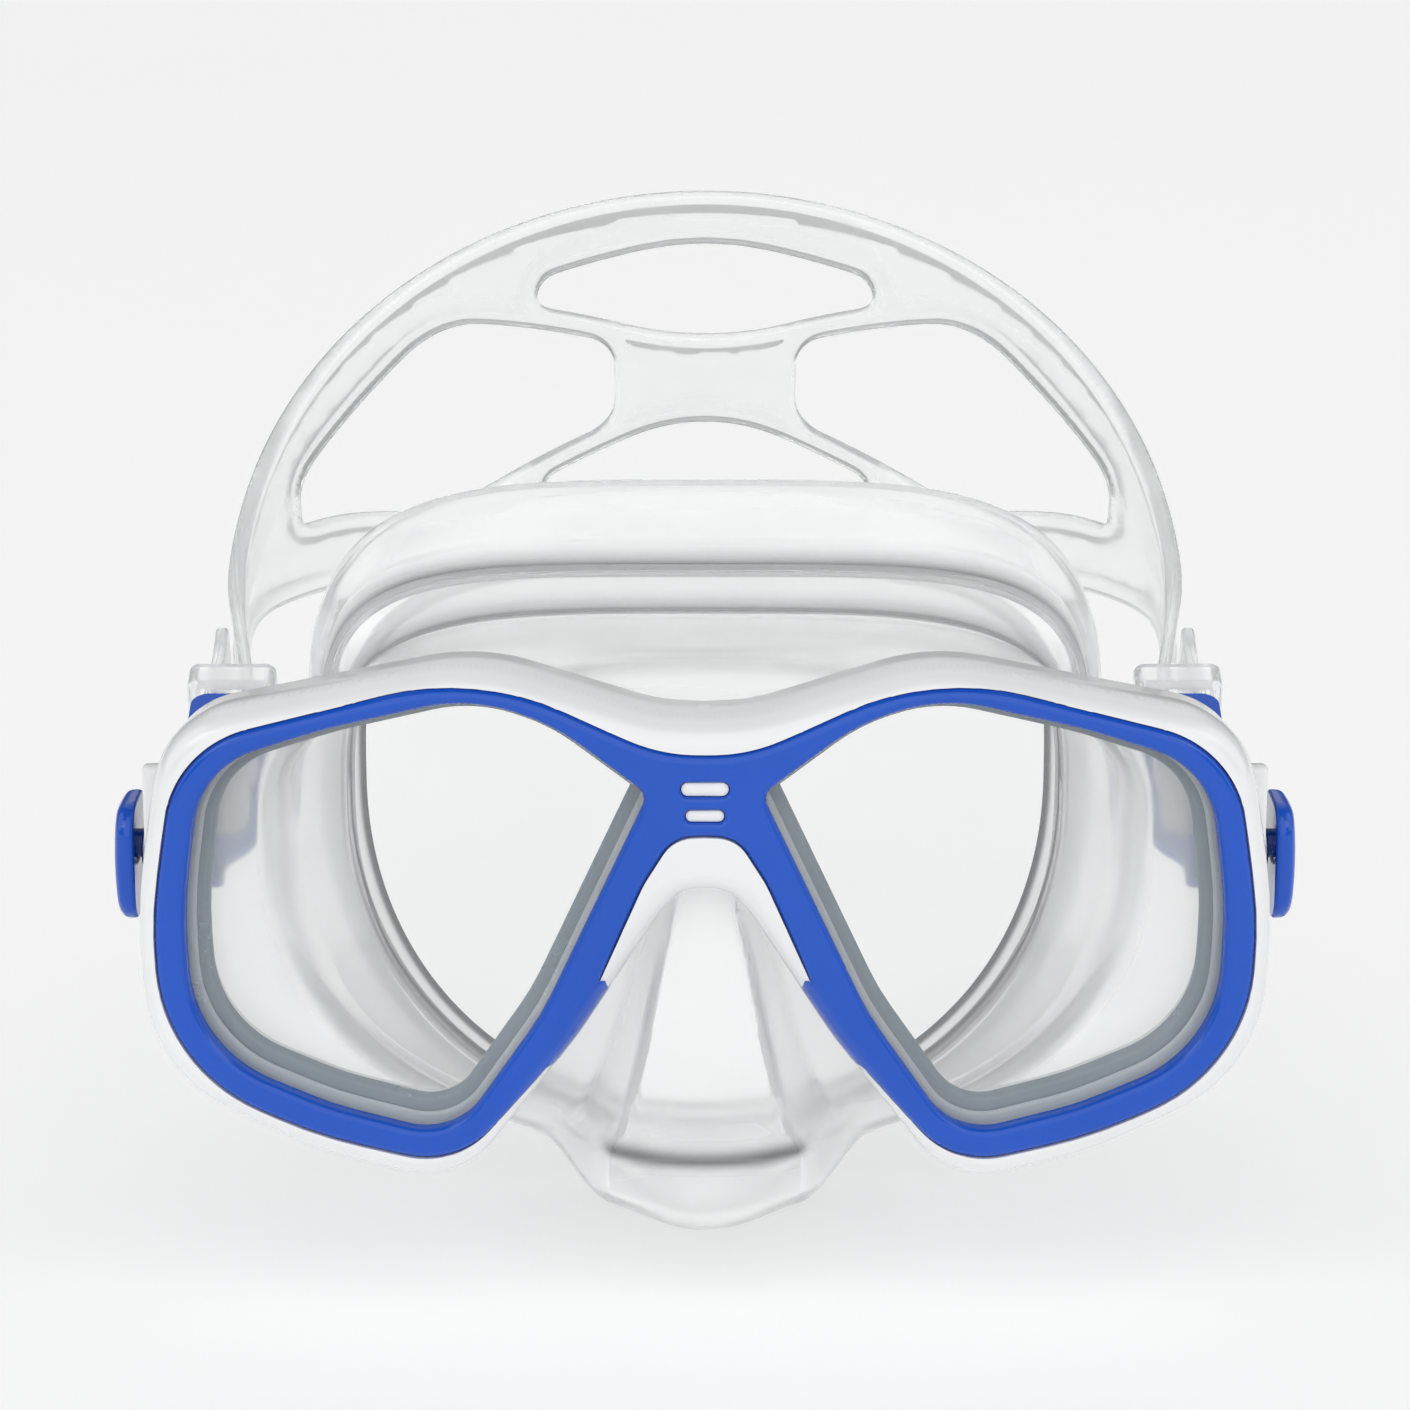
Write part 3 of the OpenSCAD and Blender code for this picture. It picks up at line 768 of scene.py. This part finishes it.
def loft(rings):
    """Points and quads of a tube through half rings, mirrored into whole ones."""
    whole = [np.vstack([r, r[-2:0:-1] * [-1, 1, 1]]) for r in rings]
    return np.vstack(whole), tube_faces(len(whole), len(whole[0]))


def sheet_piece(name, rings, thickness, painted_shade, replaces=()):
    """A silicone wall through some rings, thickened inwards. The fourth argument gives the painted shade from
    the points.
    """
    pts, faces = loft(rings)
    piece = make_piece(name, pts, faces, CLEAR, "mask", replaces, 60, painted_shade(pts))
    centre = np.array([0, -25, -5]) * MM
    mesh = piece.data
    outward = sum((p.center - Vector(centre)).dot(p.normal) > 0 for p in mesh.polygons)
    if outward * 2 <= len(mesh.polygons):
        mesh.flip_normals()
    apply_modifier(piece, "SOLIDIFY", thickness=thickness * MM, offset=-1, use_even_offset=False,
                   use_quality_normals=True)
    piece.data.shade_smooth()
    piece.data.set_sharp_from_angle(angle=math.radians(60))
    return piece


def body_painted_shade(p):
    """Painted shade down in the two real grooves behind the face seal, and a painted dark band along the soft
    lower edge of the nose's front.
    """
    x, y, z = p.T
    deep = np.exp(-((y + 8.8) / 0.55) ** 2) + np.exp(-((y + 13.9) / 0.6) ** 2)
    edge = np.exp(-((z + 38.5 - 0.012 * x * x) / 1.1) ** 2) * smooth_step((15 - np.abs(x)) / 3) * (y < -50)
    return np.clip(deep + 0.85 * edge, 0, 1)


def lip_painted_shade(p):
    """Painted shade along the free edge that seals on the face."""
    return 0.8 * smooth_step((p[:, 1] + 1.7) / 0.6)


def build_skirt():
    """The skirt's wall from the frame to the face seal, and the thinner lip inside the seal."""
    sheet_piece("skirt_body", skirt_rings(), 1.7, body_painted_shade, ["skirt"])
    lip = [
        (-14.0, 50.6, 26.4, 50.0), (-11.0, 51.2, 27.6, 51.2), (-7.5, 51.9, 29.4, 52.6),
        (-4.6, 52.2, 30.8, 53.4), (-2.6, 51.6, 31.0, 53.2), (-1.4, 50.4, 30.2, 52.2),
        (-1.0, 49.2, 29.2, 51.0),
    ]
    keys = [tube_ring(y, w, top, bottom, 3.7, 2.1) for y, w, top, bottom in lip]
    sheet_piece("skirt_inner_lip", [catmull(keys, t) for t in np.linspace(0, len(keys) - 1, 25)], 1.0,
                lip_painted_shade)


# ---------------------------------------------------------------- the strap

def strap_path():
    """Middle line of the strap's right half in plan, from the back of the head to the free tail."""
    a, b, y0 = LOOP_W - STRAP_T / 2, REAR_R - STRAP_T / 2, LOOP_L - REAR_R
    t = np.radians(np.linspace(0, 90, 90))
    rear = np.stack([a * np.sin(t), y0 + b * np.cos(t)], -1)
    inner = ROLLER + [-TURN_R, 3]
    outer = ROLLER + [TURN_R, 0]
    side = bezier([a, y0], [a, y0 - 14], inner + [0, 14], inner, 40)
    turn = np.radians(np.arange(0, 181, 12))
    bend = ROLLER + TURN_R * np.stack([-np.cos(turn), -np.sin(turn)], -1)
    tail = bezier(outer, outer + [0, 9], [69.2, 34], [70.2, 46], 24)
    return np.vstack([rear, side[1:], bend, tail[1:]])


def bezier(a, b, c, d, n):
    """n + 1 points of a cubic curve from a to d."""
    t = np.linspace(0, 1, n + 1)[:, None]
    a, b, c, d = (np.asarray(p, float) for p in (a, b, c, d))
    return a * (1 - t) ** 3 + 3 * b * t * (1 - t) ** 2 + 3 * c * t * t * (1 - t) + d * t ** 3


class StrapMap:
    """Carries points of the strap laid out flat, (along, across), onto its path."""

    def __init__(self):
        self.path = strap_path()
        step = np.linalg.norm(np.diff(self.path, axis=0), axis=1)
        self.s = np.concatenate([[0], np.cumsum(step)])
        self.length = self.s[-1]
        self.turn = self.s[np.argmin(self.path[:, 1])]

    def at(self, s):
        """The path's point at a signed distance from the middle of the back."""
        q = np.abs(s)
        x = np.interp(q, self.s, self.path[:, 0]) * np.sign(s)
        y = np.interp(q, self.s, self.path[:, 1])
        return np.stack([x, y], -1)

    def place(self, flat, height):
        """Flat points at a height above the path's middle line, in the row frame."""
        s = flat[:, 0]
        ahead, behind = self.at(s + 0.4), self.at(s - 0.4)
        d = ahead - behind
        d /= np.linalg.norm(d, axis=1)[:, None]
        normal = np.stack([-d[:, 1], d[:, 0]], -1)
        p = self.at(s) + normal * height[:, None]
        return in_harness(np.stack([p[:, 0], p[:, 1], flat[:, 1]], -1))

    def from_behind(self, pts):
        """Points seen from behind, (across the head, up), laid out flat along the strap."""
        rear = slice(0, 90)
        x = np.abs(pts[:, 0])
        return np.stack([np.sign(pts[:, 0]) * np.interp(x, self.path[rear, 0], self.s[rear]), pts[:, 1]], -1)

    def half_height(self, s):
        """Half the strap's height along it: deep behind the head, narrow from the buckle on."""
        q = np.abs(s)
        y = np.interp(q, self.s, self.path[:, 1])
        y0 = LOOP_L - 62
        rise = (REAR_H - TAIL_W) / 2 / (LOOP_L - y0)
        wide = TAIL_W / 2 + rise * (np.sqrt((y - y0) ** 2 + 60) + (y - y0)) / 2
        return np.where(q > self.turn - 30, TAIL_W / 2, wide)


def strap_windows():
    """The four openings of the strap's back, seen from behind: right, left, upper and lower."""
    side = [[14.5, 7.5, 6.5], [42, 18, 13], [63, 4.5, 5], [63, -4.5, 5], [42, -18, 13], [14.5, -7.5, 6.5]]
    upper = [[-36, 19.5, 3.5], [0, 25.8, 60], [36, 19.5, 3.5], [0, 5.4, 34]]
    right = resample(rounded(side)[::-1], 1.0)
    top = resample(rounded(upper), 1.0)
    return [right, (right * [-1, 1])[::-1], top, (top * [1, -1])[::-1]]


def build_strap():
    """The whole strap in one piece, from one free tail round the head to the other."""
    lay = StrapMap()
    s = np.arange(0, lay.length - END_R, 1.2)
    upper = np.stack([s, lay.half_height(s)], -1)
    turn = np.radians(np.arange(0, 90, 10))
    end = np.stack([lay.length + END_R * (np.sin(turn) - 1), TAIL_W / 2 + END_R * (np.cos(turn) - 1)], -1)
    quarter = np.vstack([upper, end])
    right = np.vstack([quarter, quarter[::-1] * [1, -1]])
    outline = np.vstack([right, (right[::-1] * [-1, 1])[1:-1]])
    holes = [lay.from_behind(w) for w in strap_windows()]
    region = Region([outline] + holes, lambda p: inside(p, outline) & ~in_any(p, holes),
                    rings=(0.06, 0.2, 0.45, 0.8, 1.3, 2.0, 2.8), lattice=2.6)
    flat = region.flat
    edge = region.from_rim()
    loop_part = smooth_step((lay.turn - 34 - np.abs(flat[:, 0])) / 10)
    half_t = STRAP_T / 2 - quarter_round(edge, 0.55, 0.5)
    bead = 0.35 * smooth_step(edge / 0.5) * smooth_step((2.9 - edge) / 0.9) * loop_part
    ribs = pad_ribs(flat)
    pts, faces = thicken(region, -(half_t + bead + ribs), half_t + bead, lay.place)
    # Painted shade along the upper edges of the strap's openings, the edges that face down
    under = 0.85 * np.exp(-(region.from_rim(holes, True) / 0.4) ** 2)
    make_piece("strap_band", pts, faces, CLEAR, "harness", ["strap"], 50, np.tile(under, 2))


def pad_ribs(flat):
    """Five short grip ribs across the middle of the back pad, on the outside."""
    ribs = np.zeros(len(flat))
    for k in range(-2, 3):
        away = np.hypot(np.maximum(0, np.abs(flat[:, 1]) - 2.2), flat[:, 0] - 3.4 * k)
        ribs += 0.45 * smooth_step((1.3 - away) / 0.9)
    return ribs


# ---------------------------------------------------------------- the buckles

def build_pads():
    """Push button on each side: crowned pad outside, stem through the journal."""
    length, height = PAD_SIZE
    corners = [[x * length / 2, z * height / 2, 4.2] for x, z in ((-1, 1), (1, 1), (1, -1), (-1, -1))]
    middle = np.array([PIVOT_Y, -PAD_DROP])
    loop = resample(rounded(corners), 0.6) + middle
    region = Region([loop], lambda p: inside(p, loop), lattice=1.2,
                    rings=(0.04, 0.15, 0.35, 0.65, 1.0, 1.5, 2.1))
    edge = region.from_rim()
    crown = 0.5 * (np.linalg.norm((region.flat - middle) / PAD_SIZE, axis=1) * 2) ** 2
    outer = PAD_X + PAD_T + 0.1 - quarter_round(edge, 1.7, 1.5) - crown
    inner = PAD_X + quarter_round(edge, 0.4, 0.4)
    turn = np.radians(np.arange(0, 360, 12))
    n = len(turn)
    stem = np.vstack([np.column_stack([np.full(n, x), PIVOT_Y + r * np.cos(turn), r * np.sin(turn)])
                      for x, r in ((70.15, 0.5), (71.0, 2), (PAD_X + 0.5, 2))])
    stem_faces = tube_faces(3, n) + [list(range(n)), list(range(2 * n, 3 * n))]
    for name, side in SIDES.items():
        pad = thicken(region, outer, inner, lambda flat, x: np.stack([x, flat[:, 0], flat[:, 1]], -1))
        pts, faces = joined(pad, (stem, stem_faces))
        make_piece(f"push_pad_{name}", pts * [side, 1, 1], faces, BLUE, f"push_{name}",
                   [f"button_{name}"], 50)


def build_springs():
    """Steel coil under each pad, fixed at the buckle's disc, the spring that the button presses; it is drawn
    at one length.
    """
    radius, wire, turns, travel = 2.8, 0.25, 5, 1.2
    per_turn, ring = 40, 12
    near, far = 72.22, PAD_X - 0.02
    n = turns * per_turn
    i, k = np.meshgrid(np.arange(n + 1), np.arange(ring), indexing="ij")
    a, b = 2 * np.pi * i / per_turn, 2 * np.pi * k / ring
    r = radius + wire * np.cos(b)
    x = near + wire + (far - near - 2 * wire) * i / n + wire * np.sin(b)
    pts = in_harness(np.stack([x, r * np.cos(a), r * np.sin(a)], -1).reshape(-1, 3))
    faces = tube_faces(n + 1, ring) + [list(range(ring)), list(range(n * ring, (n + 1) * ring))]
    for name, side in SIDES.items():
        coil = make_piece(f"coil_{name}", pts * [side, 1, 1], faces, STEEL, "harness",
                          [f"button_spring_{name}"])
        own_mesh(coil)


def soften(node, material, width):
    """Gives a CAD node that keeps its shape a material and lightly rounded edges."""
    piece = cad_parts[node]
    for slot in piece.material_slots:
        slot.material = material
    if not piece.material_slots:
        piece.data.materials.append(material)
    if width:
        weld = piece.modifiers.new("Weld", "WELD")
        weld.merge_threshold = 1e-6
        bevel = piece.modifiers.new("Bevel", "BEVEL")
        bevel.width = width * MM
        bevel.segments = 2
        bevel.limit_method = "ANGLE"
        bevel.angle_limit = math.radians(35)
        bevel.use_clamp_overlap = True


def finish_cad_pieces():
    """Materials and soft edges of the CAD nodes that are shown as they are."""
    for name in SIDES:
        soften(f"lens_{name}", GLASS, 0)
        soften(f"buckle_body_{name}", BLUE, 0.2)
        soften(f"pawl_{name}", BLUE, 0.15)
        soften(f"keeper_{name}", CLEAR, 0.25)
        soften(f"roller_{name}", GREY, 0.15)
        soften(f"retaining_ring_{name}", STEEL, 0.1)
        soften(f"pawl_pin_{name}", STEEL, 0.1)
        soften(f"roller_axle_{name}", STEEL, 0.1)


# ---------------------------------------------------------------- studio

# Soft boxes painted on the far sky: [direction, cosine at the soft edge, cosine where full, brightness]
SKY_BASE = 0.20
SOFT_BOXES = [
    [(0.0, -0.86, 0.50), 0.66, 0.82, 1.15],
    [(0.0, 0.75, 0.66), 0.82, 0.92, 0.5],
    [(-0.90, 0.0, 0.42), 0.88, 0.94, 1.0],
    [(0.90, 0.0, 0.42), 0.88, 0.94, 1.0],
]
BACKDROP = 0.875

# The camera looks at a point on the front's plane: its distance, its angle above, the width it sees
# there, and that point's height above eye level
CAMERA_AWAY = 550
CAMERA_TILT = math.radians(15)
CAMERA_FIELD = 181.94
CAMERA_UP = 27.5
SENSOR = 36


def build_sky():
    """A dim sky with broad soft boxes, so clear silicone gets dark edges, behind a plain backdrop."""
    world = bpy.data.worlds.new("studio")
    bpy.context.scene.world = world
    world.use_nodes = True
    nodes, links = world.node_tree.nodes, world.node_tree.links
    coord = nodes.new("ShaderNodeTexCoord")
    total = None
    for way, edge, full, bright in SOFT_BOXES:
        dot = nodes.new("ShaderNodeVectorMath")
        dot.operation = "DOT_PRODUCT"
        dot.inputs[1].default_value = Vector(way).normalized()
        links.new(coord.outputs["Generated"], dot.inputs[0])
        box = nodes.new("ShaderNodeMapRange")
        box.interpolation_type = "SMOOTHSTEP"
        box.inputs["From Min"].default_value = edge
        box.inputs["From Max"].default_value = full
        box.inputs["To Max"].default_value = bright
        links.new(dot.outputs["Value"], box.inputs["Value"])
        add = nodes.new("ShaderNodeMath")
        add.inputs[1].default_value = SKY_BASE
        links.new(box.outputs["Result"], add.inputs[0])
        if total is not None:
            links.new(total, add.inputs[1])
        total = add.outputs[0]
    path = nodes.new("ShaderNodeLightPath")
    pick = nodes.new("ShaderNodeMix")
    pick.inputs["B"].default_value = BACKDROP
    links.new(path.outputs["Is Camera Ray"], pick.inputs["Factor"])
    links.new(total, pick.inputs["A"])
    links.new(pick.outputs["Result"], nodes["Background"].inputs["Strength"])
    nodes["Background"].inputs["Color"].default_value = (1.0, 1.0, 1.0, 1)


def build_studio(low):
    """Pale floor, soft lamps and the camera, in front and slightly above."""
    mat, nodes, links, shader = new_material("studio_floor")
    cloud = noise(nodes, links, 0.8, 2)
    tinted(nodes, links, shader, cloud.outputs["Fac"], (0.77, 0.77, 0.77), (0.79, 0.79, 0.79))
    shader.inputs["Roughness"].default_value = 0.9
    # A little light of its own keeps the floor near white and the shadow under the mask pale
    shader.inputs["Emission Color"].default_value = (1.0, 1.0, 1.0, 1)
    shader.inputs["Emission Strength"].default_value = 0.335
    size = 5.0
    mesh = bpy.data.meshes.new("studio_floor")
    corners = [(-size, -size), (size, -size), (size, size), (-size, size)]
    mesh.from_pydata([(x, y, low - 0.0005) for x, y in corners], [], [(0, 1, 2, 3)])
    floor = bpy.data.objects.new("studio_floor", mesh)
    mesh.materials.append(mat)
    bpy.context.collection.objects.link(floor)

    lamps = [
        ("lamp_left", (-1.1, -0.75, 0.75), 0.5, 1.6),
        ("lamp_right", (1.1, -0.7, 0.8), 0.5, 1.3),
    ]
    aim = Vector((0, -0.02, 0.0))
    for name, place, width, power in lamps:
        light = bpy.data.lights.new(name, "AREA")
        light.energy = power
        light.size = width
        lamp = bpy.data.objects.new(name, light)
        lamp.location = place
        lamp.rotation_euler = (aim - Vector(place)).to_track_quat("-Z", "Y").to_euler()
        bpy.context.collection.objects.link(lamp)
    build_sky()

    camera = bpy.data.cameras.new("camera")
    camera.sensor_width = SENSOR
    camera.lens = SENSOR * CAMERA_AWAY / CAMERA_FIELD
    shot = bpy.data.objects.new("camera", camera)
    back = FRONT_Y - CAMERA_AWAY * math.cos(CAMERA_TILT)
    shot.location = Vector((0, back, CAMERA_UP + CAMERA_AWAY * math.sin(CAMERA_TILT))) * MM
    shot.rotation_euler = (math.pi / 2 - CAMERA_TILT, 0, 0)
    bpy.context.collection.objects.link(shot)
    scene = bpy.context.scene
    scene.camera = shot
    scene.view_settings.view_transform = "Standard"
    scene.cycles.max_bounces = 14
    scene.cycles.transmission_bounces = 12
    scene.cycles.transparent_max_bounces = 12


build_frame()
build_bezel()
build_gaskets()
build_skirt()
build_strap()
build_pads()
build_springs()
finish_cad_pieces()
build_studio(cad_box[0].z)
